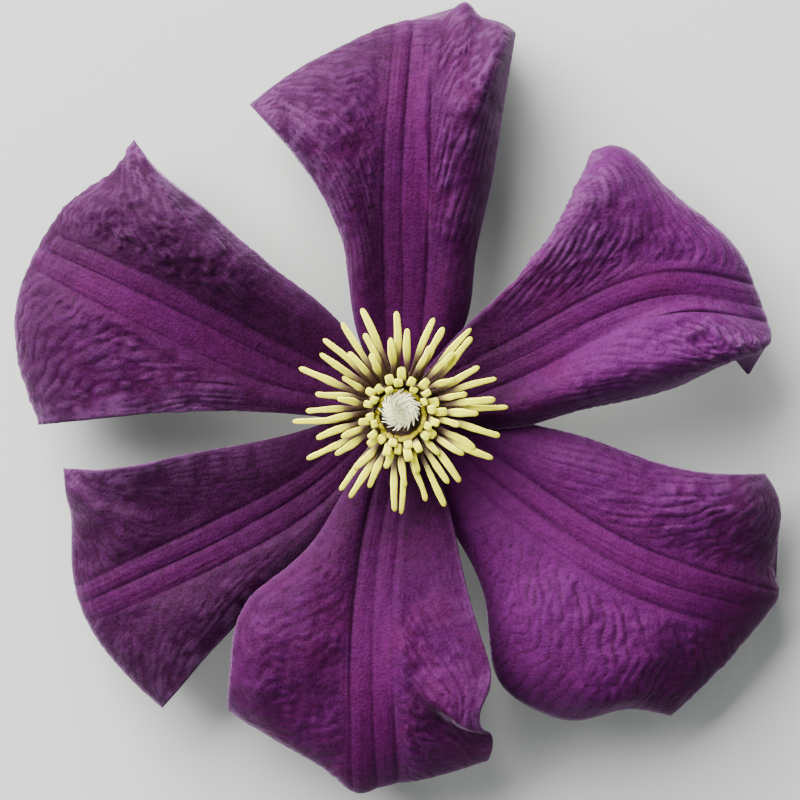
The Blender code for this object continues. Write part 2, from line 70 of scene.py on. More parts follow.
def smooth_curve(points, t):
    """A natural cubic spline through the points, spaced by their chords, read at t from 0 to 1.

    Each span is a cubic, and their second differences solve one small linear system, so the line
    bends as little as it can.
    """
    points = np.asarray(points, float)
    knots = knots_of(points)
    gaps = np.diff(knots)
    count = len(points)
    system = np.eye(count)
    change = np.zeros_like(points)
    for i in range(1, count - 1):
        system[i, i - 1:i + 2] = gaps[i - 1], 2 * (gaps[i - 1] + gaps[i]), gaps[i]
        change[i] = 6 * ((points[i + 1] - points[i]) / gaps[i] - (points[i] - points[i - 1]) / gaps[i - 1])
    bend = np.linalg.solve(system, change)
    t = np.clip(np.asarray(t, float), 0, 1)
    i = np.clip(np.searchsorted(knots, t, side="right") - 1, 0, count - 2)
    gap = gaps[i][..., None]
    after = (t - knots[i])[..., None]
    before = gap - after
    return ((bend[i] * before ** 3 + bend[i + 1] * after ** 3) / (6 * gap)
            + (points[i] / gap - bend[i] * gap / 6) * before
            + (points[i + 1] / gap - bend[i + 1] * gap / 6) * after)


def smooth_step(x):
    """0 below 0, 1 above 1, and a smooth S between."""
    x = np.clip(x, 0, 1)
    return x * x * (3 - 2 * x)


LATTICE_SIZE = 128
LATTICE = np.random.default_rng(5).uniform(-1, 1, (LATTICE_SIZE, LATTICE_SIZE))


def noise(x, y):
    """Value noise from -1 to 1: the four lattice values round the point, mixed by smooth steps."""
    column, row = np.floor(x).astype(int), np.floor(y).astype(int)
    fx, fy = smooth_step(x - column), smooth_step(y - row)
    c0, c1, r0, r1 = (index % LATTICE_SIZE for index in (column, column + 1, row, row + 1))
    low = LATTICE[r0, c0] * (1 - fx) + LATTICE[r0, c1] * fx
    high = LATTICE[r1, c0] * (1 - fx) + LATTICE[r1, c1] * fx
    return low * (1 - fy) + high * fy


def unit(vectors):
    """The vectors, each divided by its length."""
    return vectors / np.linalg.norm(vectors, axis=-1, keepdims=True)


def circle(count):
    """That many angles, evenly round a full turn."""
    return np.linspace(0, 2 * math.pi, count, endpoint=False)


print("a lattice of", LATTICE.size, "random heights")

# %% [markdown]
# ## The shape of a tepal
#
# A clematis tepal is a broad blade with three sunken ribs. Its margins fall away, and its end rolls
# over and curls under, so from above it shows a fold with a pointed horn at each corner. One could
# sculpt it, or drape a cloth. A formula is better here: six tepals share it, and each has its own few
# points. Two Coons patches share the midrib and fill the outline. The height is an arch, a swell on
# each side of the ribs, and two drops that meet in a hip ridge running in from each horn.

# %% The six tepals in numbers
RIB_COLUMN = 0.35
ROW_CROWDING = 1.8
SOFT_START = 0.06
MARGIN_DROP_AT_BASE = 0.3
MARGIN_POWER = 1.7
HIP_SHARPNESS = 4
LIP_STEPS = 24
LIP_SHADOW = 3.5

# Each tepal: its midrib and its two sides, from the base to the fold where the end rolls under; the
# fold, between the horns where the sides end; and the tip, which hangs below the fold. Left and right
# are as seen from the axis, looking out. "heights" are the control heights of the midrib's arch. "ribs" is
# the distance from the midrib to the outer grooves at the base, middle and fold. "lobes" is how far the
# right and left lobes swell, and how far out their crests lie, from 0 at the groove to 1 at the margin,
# at the base and at the fold. "falls" is how deep the right and left margins fall, over what width, and
# what share of that width is left at the fold. A fall below 0 turns the margin up. "roll" is how deep
# the end rolls under, and over what length. "lips" are raised edges, most of them a lobe's that laps over
# a groove: a path, a height, how wide it is on its right and on its left, and how dark the painted shadow
# beyond it is.
TEPALS = {}
TEPALS["tepal_north"] = dict(
    midrib=[(0.1, 3.3), (0.2, 12.0), (0.3, 26.0), (1.6, 43.8)],
    right=[(2.9, 3.6), (7.4, 10.0), (8.4, 17.0), (10.2, 25.2), (11.7, 35.0), (13.0, 42.5)],
    left=[(-2.7, 3.4), (-5.0, 9.5), (-6.5, 19.0), (-10.6, 26.8), (-16.9, 34.3)],
    fold=[(10.9, 43.5), (8.8, 44.2), (7.4, 45.7), (5.6, 44.6), (1.6, 43.8), (-5.5, 41.3), (-12.4, 37.5)],
    tip=(6.7, 45.9, 0.0), heights=(8.4, 9.8, 16.6, 13.0), roll=(5.4, 16.0),
    ribs=((1.7, 4.2, 1.6), (1.4, 2.6, 2.0)), lobes=((1.9, 0.4, 0.8), (1.5, 0.6, 0.75)),
    falls=((4.6, 7.5, 0.25), (1.8, 3.5, 0.8)),
    lips=[([(4.2, 17.0), (3.2, 27.0), (2.9, 34.0), (4.8, 42.0)], 0.9, 2.5, 0.7, 0.0)],
)
TEPALS["tepal_northwest"] = dict(
    midrib=[(-3.0, 1.3), (-11.5, 4.4), (-24.3, 10.7), (-40.6, 18.2)],
    right=[(-2.2, 3.6), (-6.6, 9.6), (-11.4, 13.9), (-16.9, 18.2), (-22.6, 23.3), (-26.6, 26.4),
           (-29.9, 30.4)],
    left=[(-3.6, -1.4), (-10.1, -0.6), (-22.5, 0.0), (-34.0, -1.0), (-40.5, -1.6)],
    fold=[(-31.9, 27.0), (-36.4, 23.7), (-40.6, 18.2), (-42.9, 12.0), (-42.8, 6.0)],
    tip=(-37.0, 10.5, 1.6), heights=(10.2, 11.4, 17.0, 13.4), roll=(5.4, 14.0),
    ribs=((1.4, 2.6, 2.0), (1.6, 4.2, 2.2)), lobes=((2.0, 0.55, 0.7), (0.9, 0.4, 0.5)),
    falls=((2.2, 4.0, 0.5), (-0.3, 3.5, 1.0)),
    lips=[([(-38.6, 12.6), (-31.5, 9.6), (-25.9, 6.4), (-18.0, 1.9)], 0.5, 0.7, 2.0, 0.0)],
)
TEPALS["tepal_southwest"] = dict(
    midrib=[(-2.7, -1.9), (-10.1, -8.8), (-20.0, -14.4), (-35.9, -21.9)],
    right=[(-3.9, 0.4), (-11.0, -2.3), (-24.8, -5.1), (-34.0, -6.6), (-37.6, -6.5)],
    left=[(-1.2, -3.6), (-6.2, -11.6), (-13.0, -18.6), (-20.2, -26.0), (-26.7, -33.5)],
    fold=[(-36.8, -12.4), (-36.8, -16.6), (-35.9, -21.9), (-31.5, -28.7)],
    tip=(-32.5, -20.5, 0.0), heights=(8.4, 9.4, 14.6, 12.4), roll=(5.0, 13.0),
    ribs=((1.4, 2.6, 2.0), (1.4, 3.4, 2.2)), lobes=((0.3, 0.5, 0.5), (0.8, 0.4, 0.5)),
    falls=((-2.6, 7.0, 1.0), (0.8, 4.0, 1.0)),
    lips=[([(-39.0, -5.2), (-35.6, -8.6), (-31.6, -11.2), (-26.0, -12.6)], 1.0, 2.8, 0.6, 0.5)],
)
TEPALS["tepal_south"] = dict(
    midrib=[(0.2, -3.3), (-1.8, -12.4), (-3.0, -25.3), (-2.6, -42.4)],
    right=[(-2.6, -3.6), (-6.8, -10.0), (-10.6, -15.8), (-17.0, -21.5), (-18.8, -28.0), (-19.4, -33.7)],
    left=[(3.0, -3.4), (5.5, -11.0), (7.4, -19.5), (9.4, -26.5), (9.9, -31.2), (9.1, -34.2), (10.2, -36.2),
          (9.9, -39.2)],
    fold=[(-12.4, -37.8), (-6.8, -41.5), (-4.9, -42.9), (-2.6, -42.4), (2.2, -41.4)],
    tip=(-3.6, -38.0, 1.2), heights=(10.2, 11.6, 17.2, 13.2), roll=(5.2, 14.0),
    ribs=((1.4, 2.9, 2.6), (1.4, 2.4, 2.4)), lobes=((0.9, 0.35, 0.5), (0.5, 0.35, 0.35)),
    falls=((1.4, 5.0, 0.8), (-1.4, 6.0, 0.5)),
    lips=[([(0.6, -16.0), (-0.5, -27.0), (0.0, -33.0), (2.2, -40.0)], 0.5, 0.8, 2.0, 0.0),
          ([(1.4, -29.4), (4.2, -32.4), (8.8, -34.6), (13.6, -35.0)], 1.7, 0.8, 4.0, 1.3)],
)
TEPALS["tepal_southeast"] = dict(
    midrib=[(2.8, -1.8), (10.8, -7.9), (24.6, -17.2), (41.6, -22.6)],
    right=[(1.2, -3.6), (5.4, -12.6), (9.6, -21.4), (11.4, -30.8), (15.1, -33.6), (20.6, -34.8),
           (25.0, -33.6), (30.6, -34.5)],
    left=[(4.0, 0.6), (13.0, -1.2), (21.9, -3.5), (33.4, -6.9), (41.2, -7.2)],
    fold=[(35.8, -29.3), (41.6, -22.6), (42.7, -20.3), (42.1, -18.6), (42.3, -15.0), (42.6, -10.0)],
    tip=(42.8, -19.8, 0.0), heights=(8.4, 9.4, 16.2, 13.2), roll=(7.5, 21.0),
    ribs=((1.5, 3.0, 2.6), (1.6, 3.6, 2.2)), lobes=((0.9, 0.4, 0.5), (0.9, 0.45, 0.6)),
    falls=((5.0, 9.0, 0.4), (2.4, 4.0, 1.0)),
    lips=[],
)
TEPALS["tepal_northeast"] = dict(
    midrib=[(3.1, 1.2), (14.8, 6.5), (30.4, 12.7), (40.7, 11.4)],
    right=[(3.7, -1.6), (12.0, -2.0), (21.3, 0.3), (30.4, 2.4), (37.6, 6.1)],
    left=[(2.2, 3.7), (8.0, 10.0), (15.6, 17.7), (20.0, 25.4), (21.6, 29.2)],
    fold=[(41.4, 7.8), (40.7, 11.4), (38.0, 17.7), (29.2, 25.6), (24.0, 29.6)],
    tip=(39.6, 4.1, 1.4), heights=(10.2, 11.5, 17.0, 13.2), roll=(5.2, 14.0),
    ribs=((1.4, 2.6, 1.2), (1.4, 3.0, 2.4)), lobes=((3.0, 0.48, 0.55), (1.0, 0.85, 0.85)),
    falls=((4.0, 6.0, 0.5), (0.0, 4.0, 0.7)),
    lips=[([(40.5, 9.6), (31.6, 11.0), (25.0, 8.6), (16.0, 3.8)], 0.9, 0.7, 3.0, 0.0)],
)

print(len(TEPALS), "tepals, with", sum(len(t["fold"]) for t in TEPALS.values()), "points between their horns")

# %% The outline and the height
def fold_curve(tepal, v):
    """The fold at v, from -1 at the right horn, through 0 at the midrib's end, to 1 at the left horn."""
    fold = [tepal["right"][-1], *tepal["fold"], tepal["left"][-1]]
    middle = knots_of(fold)[fold.index(tepal["midrib"][-1])]
    return smooth_curve(fold, np.where(v < 0, middle * (1 + v), middle + (1 - middle) * v))


def three_values(values, u):
    """A quadratic blend of a base, a middle and an end value along u."""
    return values[0] * (1 - u) ** 2 + 2 * values[1] * u * (1 - u) + values[2] * u ** 2


def plan_surface(tepal, u, q):
    """The tepal seen from above: two Coons patches that share the midrib.

    Along u they run from base to fold. Across, v goes from midrib to margin as a cubic of the column
    q, chosen so that the column RIB_COLUMN always falls on the outer groove.
    """
    right = (q < 0)[..., None]
    middle = smooth_curve(tepal["midrib"], u)
    margin, base_edge = (np.where(right, smooth_curve(tepal["right"], s), smooth_curve(tepal["left"], s))
                         for s in (u, 0.0))
    half_width = np.linalg.norm(margin - middle, axis=-1)
    ribs = np.where(q < 0, *(three_values(values, u) for values in tepal["ribs"]))
    share = np.clip(ribs / half_width, 0.05, 0.46)
    slope = (share / RIB_COLUMN - RIB_COLUMN ** 2) / (1 - RIB_COLUMN ** 2)
    v = slope * np.abs(q) + (1 - slope) * np.abs(q) ** 3
    fold_edge = np.where(right, fold_curve(tepal, -1.0), fold_curve(tepal, 1.0))
    fold = fold_curve(tepal, np.where(q < 0, -v, v))
    u, v = u[..., None], v[..., None]
    base = (1 - v) * smooth_curve(tepal["midrib"], 0.0) + v * base_edge
    across = (1 - v) * middle + v * margin
    along = (1 - u) * base + u * fold
    corners = (1 - u) * base + u * ((1 - v) * fold_curve(tepal, 0.0) + v * fold_edge)
    return across + along - corners, v[..., 0], half_width, share * half_width


def soft_power(x, power):
    """x to a power, from 0 to 1, but shifted by SOFT_START so that its slope at 0 isn't infinite."""
    start = SOFT_START ** power
    return ((x + SOFT_START) ** power - start) / ((1 + SOFT_START) ** power - start)


def tepal_surface(tepal, t, q):
    """The middle surface, for t from 0 at the base, 1 at the fold, to 2 at the tip.

    Height is the midrib's arch, plus the swell of each lobe, half a sine wave whose crest a soft power
    moves, less two drops: a quarter ellipse that rolls the end over to vertical at the fold, and a
    steepening fall to each margin, over a width that narrows to the fold. They are joined as
    (a ** n + b ** n) ** (1 / n), n being HIP_SHARPNESS. A fall below 0 stays out of that, and turns the
    margin up. Past the fold the flap goes straight down and curls in to the tip.
    """
    u = 1 - (1 - np.minimum(t, 1.0)) ** ROW_CROWDING
    plan, v, half_width, rib = plan_surface(tepal, u, q)
    h = tepal["heights"]
    arch = (h[0] * (1 - u) ** 3 + 3 * h[1] * u * (1 - u) ** 2 + 3 * h[2] * u ** 2 * (1 - u) + h[3] * u ** 3)
    outward = np.clip((v * half_width - rib) / (half_width - rib), 0, 1)
    swell, crest_at_base, crest_at_fold = (np.where(q < 0, *pair) for pair in zip(*tepal["lobes"]))
    crest = crest_at_base + (crest_at_fold - crest_at_base) * u
    lean = soft_power(outward, math.log(0.5) / np.log(crest))
    swell = swell * np.sin(0.75 * math.pi * u) * np.sin(math.pi * lean)
    reach = np.linalg.norm(np.diff(tepal["midrib"], axis=0), axis=1).sum()
    roll_depth, roll_length = tepal["roll"]
    roll = np.clip(1 - (1 - u) * reach / roll_length, 0, 1)
    front_drop = roll_depth * (1 - np.sqrt(1 - roll ** 2))
    fall_depth, fall_width, left_at_fold = (np.where(q < 0, *pair) for pair in zip(*tepal["falls"]))
    narrowed = 1 - (1 - left_at_fold) * smooth_step(2 * u - 1)
    fall_width = np.minimum(fall_width * (0.4 + 0.6 * np.sin(1.9 * u)) * narrowed, 0.8 * half_width)
    fall = np.clip(1 - (1 - v) * half_width / fall_width, 0, 1)
    fall_depth = MARGIN_DROP_AT_BASE + fall_depth * np.clip(u / 0.75, 0, 1) ** 1.5
    side_drop = fall_depth * fall ** MARGIN_POWER
    turned_up = np.minimum(side_drop, 0)
    side_drop = side_drop - turned_up
    drop = (front_drop ** HIP_SHARPNESS + side_drop ** HIP_SHARPNESS) ** (1 / HIP_SHARPNESS)
    height = arch + swell - drop - turned_up
    w = np.clip(t - 1, 0, 1)
    tip = np.asarray(tepal["tip"], float)
    plan = plan + (tip[:2] - plan) * (w ** 2)[..., None]
    height = height + (tip[2] - height) * w
    points = np.concatenate([plan, height[..., None]], axis=-1)
    return points, {"u": u, "across": v * half_width, "rib": rib, "half_width": half_width,
                    "outward": outward, "reach": reach, "fallen": side_drop, "right": q < 0}


def lip(points, path, height, right_width, left_width, shadow_strength):
    """A raised edge, and a painted shadow beyond it. The edge is a bell of the distance from the path, with
    its own width on each side, that swells from nothing at the path's first point to full height at its
    middle and back. The painted shadow lies on its narrow side, as a bell LIP_SHADOW wide."""
    line = smooth_curve(path, np.linspace(0, 1, LIP_STEPS))
    offset = points[..., None, :2] - line
    nearest = np.linalg.norm(offset, axis=-1).argmin(axis=-1)
    heading = np.gradient(line, axis=0)[nearest]
    step = np.linalg.norm(heading, axis=-1)
    away = np.take_along_axis(offset, nearest[..., None, None], axis=-2)[..., 0, :]
    to_left = (heading[..., 0] * away[..., 1] - heading[..., 1] * away[..., 0]) / step
    along = (heading * away).sum(axis=-1) / step ** 2
    near = np.hypot(to_left, np.maximum(np.abs(along) - 0.6, 0) * step)
    left = to_left > 0
    width = np.where(left, left_width, right_width)
    swell = np.sin(math.pi * np.clip(nearest + along, 0, LIP_STEPS - 1) / (LIP_STEPS - 1))
    beyond = np.where(width == min(right_width, left_width), smooth_step(near / 0.6), 0)
    # Painted shadow on the narrow side of the raised edge.
    dark = shadow_strength * beyond * np.exp(-(near / LIP_SHADOW) ** 2) * swell
    return height * np.exp(-(near / width) ** 2) * swell, dark


def normals_of(grid):
    """Unit normals of a grid of points, facing up: the cross product of its two differences, with rows
    running out along the tepal and columns from its right side to its left."""
    return unit(np.cross(np.gradient(grid, axis=0), np.gradient(grid, axis=1)))


# %% [markdown]
# ## Ribs, side veins and puckers
#
# Close to, a tepal isn't smooth. Three grooves run down its middle, with rounded bars between them. Side
# veins leave the outer grooves at a slant. On some lobes they arch to the margin, on others they all
# draw together at the horn, as pleats do. The tissue between them swells, and breaks into small beads.
# Bump mapping alone would leave the outline and the raking light wrong, so this is real relief in the
# mesh, and only the velvet's grain is left to the material. The same functions say where the veins'
# colour deepens, and where painted shade and painted highlight go.

# %% Veins as lines of a field
VEIN_SLANT = 1.1
VEIN_BEND = 1.7
HORN_GAP = 0.03
BEAD_LENGTH = 1.0

# Each tepal's surface. Five pairs, for its right and left lobes: how far the veins draw together at the
# horn, how deep the relief is, how far apart the veins are in mm, how far the fold and the margin fade
# into a painted sheen, and how clearly the veins are coloured. Then its painted shading: how much painted
# shade darkens the right lobe, the left lobe, the base and the end by the fold, or below 0 how much
# painted light lightens them.
LOBES = dict(
    tepal_north=((1.0, 1.0), (1.15, 0.9), (0.95, 0.75), (1.8, 1.8), (0.3, 0.25), (0.2, 0.45, 0.3, 0.4)),
    tepal_northwest=((1.0, 0.6), (1.35, 1.0), (0.85, 1.2), (1.5, 1.8), (0.4, 0.35), (1.0, 0.5, 0.75, 0.45)),
    tepal_southwest=((0.7, 0.5), (0.3, 0.35), (0.8, 1.1), (1.5, 1.5), (0.4, 0.4), (1.0, 1.0, 0.85, 0.1)),
    tepal_south=((0.1, 0.3), (0.65, 0.7), (1.1, 1.0), (0.3, 0.8), (0.55, 0.25), (0.3, 0.0, 0.8, -0.3)),
    tepal_southeast=((0.0, 0.8), (0.9, 0.95), (1.25, 1.0), (0.3, 1.2), (0.8, 0.4), (-0.55, -0.25, -0.4, 0.8)),
    tepal_northeast=((0.8, 0.85), (1.5, 1.0), (0.9, 0.85), (2.4, 1.8), (0.2, 0.5), (-0.8, -0.15, 1.2, -0.7)),
)


def vein_phase(place, gather, seed):
    """A number that is the same all along a vein, in mm along the rib.

    An arching vein has s = u - slant (e - e e / 2), with e the share of the way from rib to margin. A
    gathered one leaves the rib along it and ends by the horn: s = (u - g) / (1 + gap - g), where g is
    the soft power 1 / bend of e. The two are mixed, and noise makes the veins wander.
    """
    u, e, reach = place["u"], place["outward"], place["reach"]
    width = (place["half_width"] - place["rib"]) / reach
    u = u + 0.020 * noise(u * 7 + seed, e * 5) + 0.007 * noise(u * 25 + seed, e * 14)
    e = np.clip(e + 0.05 * noise(u * 6, e * 6 + seed) * e, 0, 1)
    arching = u - VEIN_SLANT * width * (e - e * e / 2)
    g = soft_power(e, 1 / VEIN_BEND)
    gathered = (u - g) / (1 + HORN_GAP - g)
    return reach * ((1 - gather) * arching + gather * gathered)


def spaced_swells(phase, points, distance, spacing, seed):
    """The swells between veins, 0 in a vein and 1 half way, kept about as wide as the spacing.

    Where veins draw together, every second one drops out. The level is the base-2 logarithm of their
    density, a swell is |sin(pi phase / 2 ** level)|, and each whole level is blended into the next.
    Beads are noise, as wide as a swell and BEAD_LENGTH long.
    """
    density = 0
    for axis in (0, 1):
        step = np.linalg.norm(np.gradient(points, axis=axis), axis=-1)
        density = density + (np.gradient(phase, axis=axis) / np.maximum(step, 0.02)) ** 2
    level = np.log2(np.clip(np.sqrt(density), 0.02, 50))
    whole = np.floor(level)
    blend = smooth_step((level - whole - 0.5) / 0.6 + 0.5)
    swells, beads = [], []
    for step in (whole, whole + 1):
        count = phase / spacing / 2 ** step
        swells.append(np.abs(np.sin(math.pi * count)) ** 0.6)
        beads.append(noise(count * 1.1 + seed, distance / BEAD_LENGTH))
    swell = swells[0] * (1 - blend) + swells[1] * blend
    return swell, beads[0] * (1 - blend) + beads[1] * blend


# %% The relief, and the maps that colour follows
GROOVE_WIDTH = 0.6
GROOVE_DEPTH = 0.10
CREASE_WIDTH = 0.24
CREASE_DEPTH = 0.11
BAR_HEIGHT = 0.05
WRINKLE_HEIGHT = 0.30
PUCKER_HEIGHT = 0.09
UNDULATION = 0.45
GRAIN_HEIGHT = 0.03
# The painted sheen's widths in mm: a thin pale rim, a wider pale band by the margin and the fold, and one by
# the horn.
PAINTED_RIM_WIDTH = 0.45
PAINTED_SHEEN_WIDTH = 2.4
HORN_PAINTED_SHEEN = 5.5


def at_ribs(across, rib, width):
    """A bell of the distance from the midrib, plus one of the distance from the outer groove."""
    return np.exp(-(across / width) ** 2) + np.exp(-((across - rib) / width) ** 2)


def tepal_relief(name, tepal, t, points, place, seed):
    """Relief along the normal, in mm, and the maps that colour follows.

    Each rib is a groove with a sharper crease in it, and each bar is half a sine wave, squared. Lips
    come next, then swells with beads, two sizes of pucker, a slow unevenness, and a grain by the ribs.
    The rim map is a painted sheen, which fades with the distance from margin, fold and horn, and is
    strongest where a swell stands up. The furrow and groove maps put painted shade in the hollows, and the
    ridge map a painted highlight on the swells. The shading map is painted shade above 0 and painted light
    below it, over each lobe, its base, its end by the fold, and beyond each lip.
    """
    across, rib, u, right = place["across"], place["rib"], place["u"], place["right"]
    x, y = points[..., 0], points[..., 1]
    on_top = np.clip((1.0 - t) / 0.1, 0, 1)
    fade = np.clip(t / 0.15, 0, 1) * (1 - 0.6 * smooth_step((t - 0.8) / 0.2))
    fade = fade * np.clip((1.6 - t) / 0.6, 0, 1)
    *pairs, (right_painted_shading, left_painted_shading, base_painted_shading, end_painted_shading) = LOBES[name]
    gather, rough, spacing, painted_sheen_strength, veined = (np.where(right, *pair) for pair in pairs)

    wide, crease = at_ribs(across, rib, GROOVE_WIDTH), at_ribs(across, rib, CREASE_WIDTH)
    cut = fade * (0.75 + 0.55 * noise(u * 4 + seed, np.round(across / rib) * 3.7 + 2 * right))
    relief = -(GROOVE_DEPTH * wide + CREASE_DEPTH * crease) * cut
    relief += BAR_HEIGHT * np.sin(math.pi * np.clip(across / rib, 0, 1)) ** 2 * fade
    # Painted shading: painted shade above 0 and painted light below it, for each lobe, half as strong on the
    # bars, and more at the end by the fold.
    painted_shading = np.where(right, right_painted_shading, left_painted_shading) * (0.5 + 0.5 * smooth_step((across / rib - 0.6) / 0.8))
    painted_shading += end_painted_shading * smooth_step((u - 0.75) / 0.25)
    # Each lip raises an edge, and adds its painted shadow to the painted shading.
    for edge in tepal["lips"]:
        raised, painted_shadow = lip(points, *edge)
        relief += raised * on_top
        painted_shading += painted_shadow * on_top
    # Near the base, the base's own painted shade or painted light takes over.
    painted_shading = painted_shading * smooth_step((u - 0.1) / 0.4) + base_painted_shading * (1 - smooth_step((u - 0.1) / 0.5))

    horn = np.where(right[..., None], tepal["right"][-1], tepal["left"][-1])
    distance = np.linalg.norm(points[..., :2] - horn, axis=-1)
    swell, bead = spaced_swells(vein_phase(place, gather, seed), points, distance, spacing, seed)
    lobe = smooth_step((across - rib - 0.2) / 1.6)
    from_base = smooth_step((u - 0.15) / 0.5)
    outer = from_base * (1 - 0.5 * smooth_step((u - 0.85) / 0.15))
    calm = 1 - 0.85 * smooth_step(place["fallen"] / 3.0)
    uneven = 0.8 + 0.5 * noise(x / 5 + seed, y / 5)
    strength = lobe * outer * rough * uneven * np.clip((1.5 - t) / 0.5, 0.3, 1)
    wrinkle = swell * (0.6 + 0.7 * calm * bead) - 0.4
    relief += WRINKLE_HEIGHT * strength * (0.4 + 0.6 * calm) * wrinkle
    pucker = noise(x / 0.55 + seed, y / 0.55) + noise(x / 1.1, y / 1.1 + seed)
    relief += PUCKER_HEIGHT * pucker * strength * calm
    slow = noise(x / 5.5 + seed, y / 5.5) + 0.5 * noise(x / 2.6, y / 2.6 + seed)
    relief += UNDULATION * slow * lobe * outer * on_top * calm
    grain = noise(across / 0.3 + seed, u * place["reach"] / 4)
    relief += GRAIN_HEIGHT * grain * (1 - lobe) * fade

    # Painted sheen: the colour pales by the margins, the fold and the horns, most on the swells' crests.
    to_edge = np.minimum(place["half_width"] - across, (1 - np.minimum(t, 1)) * 0.55 * place["reach"])
    painted_streaks = smooth_step((swell * (0.6 + 0.7 * bead) - 0.15) / 0.7)
    painted_sheen = np.exp(-to_edge / PAINTED_SHEEN_WIDTH) + 0.9 * gather * np.exp(-distance / HORN_PAINTED_SHEEN)
    painted_sheen = painted_sheen * (0.1 + 0.2 * slow + 0.85 * painted_streaks) * from_base * painted_sheen_strength
    # Painted shade in the furrows and grooves, a painted highlight on the swells, painted sheen on the rim,
    # and painted shading; bar and vein are the tepal's own colour.
    maps = {
        "painted_furrow_shade": np.clip((1 - swell) ** 1.5 * strength, 0, 1),
        "vein": np.clip(1.15 - 1.7 * swell, 0, 1) * lobe * smooth_step((u - 0.1) / 0.3) * veined,
        "groove": (0.35 * wide + 0.65 * crease) * cut,
        "bar": 1 - smooth_step((across - rib) / 1.5 + 0.5),
        "ridge": np.clip(swell * (0.65 + 0.6 * bead) * strength, 0, 1),
        "rim": 0.5 * np.exp(-(to_edge / PAINTED_RIM_WIDTH) ** 2) + painted_sheen,
        "painted_shading": painted_shading,
    }
    return relief, maps


# %% [markdown]
# ## Turning grids into meshes
#
# A sheet needs two faces and a rim. The upper face is the surface with its relief. The under face is the
# same one thickness lower, with the ribs standing proud of it as they do on the real back. The two are
# closed by a strip round the edge, where the sheet thins. A strap is a profile carried along a path,
# closed by a face at each end.

# %% Mesh helpers
def make_mesh(name, points, faces, maps=None):
    """An object from points in mm, face arrays of any number of corners, and maps of a value a point."""
    corners = np.concatenate([array.ravel() for array in faces]).astype(np.int32)
    sizes = np.concatenate([np.full(len(array), array.shape[1]) for array in faces])
    mesh = bpy.data.meshes.new(name)
    mesh.vertices.add(len(points))
    mesh.vertices.foreach_set("co", ((points + AXIS) * MM).astype(np.float32).ravel())
    mesh.loops.add(len(corners))
    mesh.loops.foreach_set("vertex_index", corners)
    mesh.polygons.add(len(sizes))
    mesh.polygons.foreach_set("loop_start", (np.cumsum(sizes) - sizes).astype(np.int32))
    mesh.polygons.foreach_set("use_smooth", np.ones(len(sizes), bool))
    for key, values in (maps or {}).items():
        item = mesh.attributes.new(key, "FLOAT", "POINT")
        item.data.foreach_set("value", values.astype(np.float32).ravel())
    mesh.update(calc_edges=True)
    mesh.validate()
    piece = bpy.data.objects.new(name, mesh)
    bpy.context.scene.collection.objects.link(piece)
    return piece


def grid_quads(rows, columns, wrap=False, ring=False):
    """The faces of a grid of points, facing rows x columns. If it wraps, they go round to the first
    column, and in a ring to the first row too."""
    i, j = np.meshgrid(np.arange(rows - (not ring)), np.arange(columns - (not wrap)), indexing="ij")
    below, after = (i + 1) % rows, (j + 1) % columns
    return np.stack([i * columns + j, below * columns + j, below * columns + after,
                     i * columns + after], axis=-1).reshape(-1, 4)


def border(rows, columns):
    """The points round the edge of a grid, in order."""
    index = np.arange(rows * columns).reshape(rows, columns)
    return np.concatenate([index[0, :-1], index[:-1, -1], index[-1, :0:-1], index[:0:-1, 0]])


def sheet_faces(rows, columns):
    """The faces of a closed sheet: the upper grid, a coarser under grid with every second point of it,
    and a rim of five-sided faces, each with two edges of the upper grid and one of the under grid."""
    top = grid_quads(rows, columns)
    under = grid_quads(rows // 2 + 1, columns // 2 + 1)[:, ::-1] + rows * columns
    above = border(rows, columns)
    below = border(rows // 2 + 1, columns // 2 + 1) + rows * columns
    rim = np.stack([above[::2], above[1::2], np.roll(above, -2)[::2], np.roll(below, -1), below], axis=-1)
    return [top, under, rim]


def carried_faces(count, rows, around):
    """The faces of many straps, each a ring of points carried along its path, with both ends closed."""
    start = (np.arange(count) * rows * around)[:, None]
    quads = grid_quads(rows, around, wrap=True)[:, ::-1]
    ring = np.arange(around)
    return [(quads[None] + start[:, None]).reshape(-1, 4), ring[::-1] + start,
            ring + (rows - 1) * around + start]


def carry(path, across, width, thickness, angle):
    """A profile carried along many paths at once: path + side w/2 cos(a) + up h/2 sin(a).

    The side is the given direction made square to the path, and up is square to both.
    """
    ahead = unit(np.gradient(path, axis=1))
    side = unit(across - ahead * (across * ahead).sum(axis=-1, keepdims=True))
    up = np.cross(ahead, side)
    return (path[:, :, None] + side[:, :, None] * (width * np.cos(angle) / 2)[..., None]
            + up[:, :, None] * (thickness * np.sin(angle) / 2)[..., None])


# %% Build the tepals
BODY_ROWS = 205
FLAP_ROWS = 36
COLUMNS = 213
THICKNESS = 0.42
BACK_RELIEF = 0.7
BACK_RIBS = 0.12
FLAP_END = 0.975
SEATING_PASSES = 3
EVENING_PASSES = 16


def evened(normal):
    """Normals averaged with their neighbours across the tepal, over and over, so that they turn gently
    through a groove, where relief laid along sharp ones would cross itself."""
    for _ in range(EVENING_PASSES):
        padded = np.pad(normal, ((0, 0), (1, 1), (0, 0)), mode="edge")
        normal = (padded[:, :-2] + 2 * normal + padded[:, 2:]) / 4
    return unit(normal)


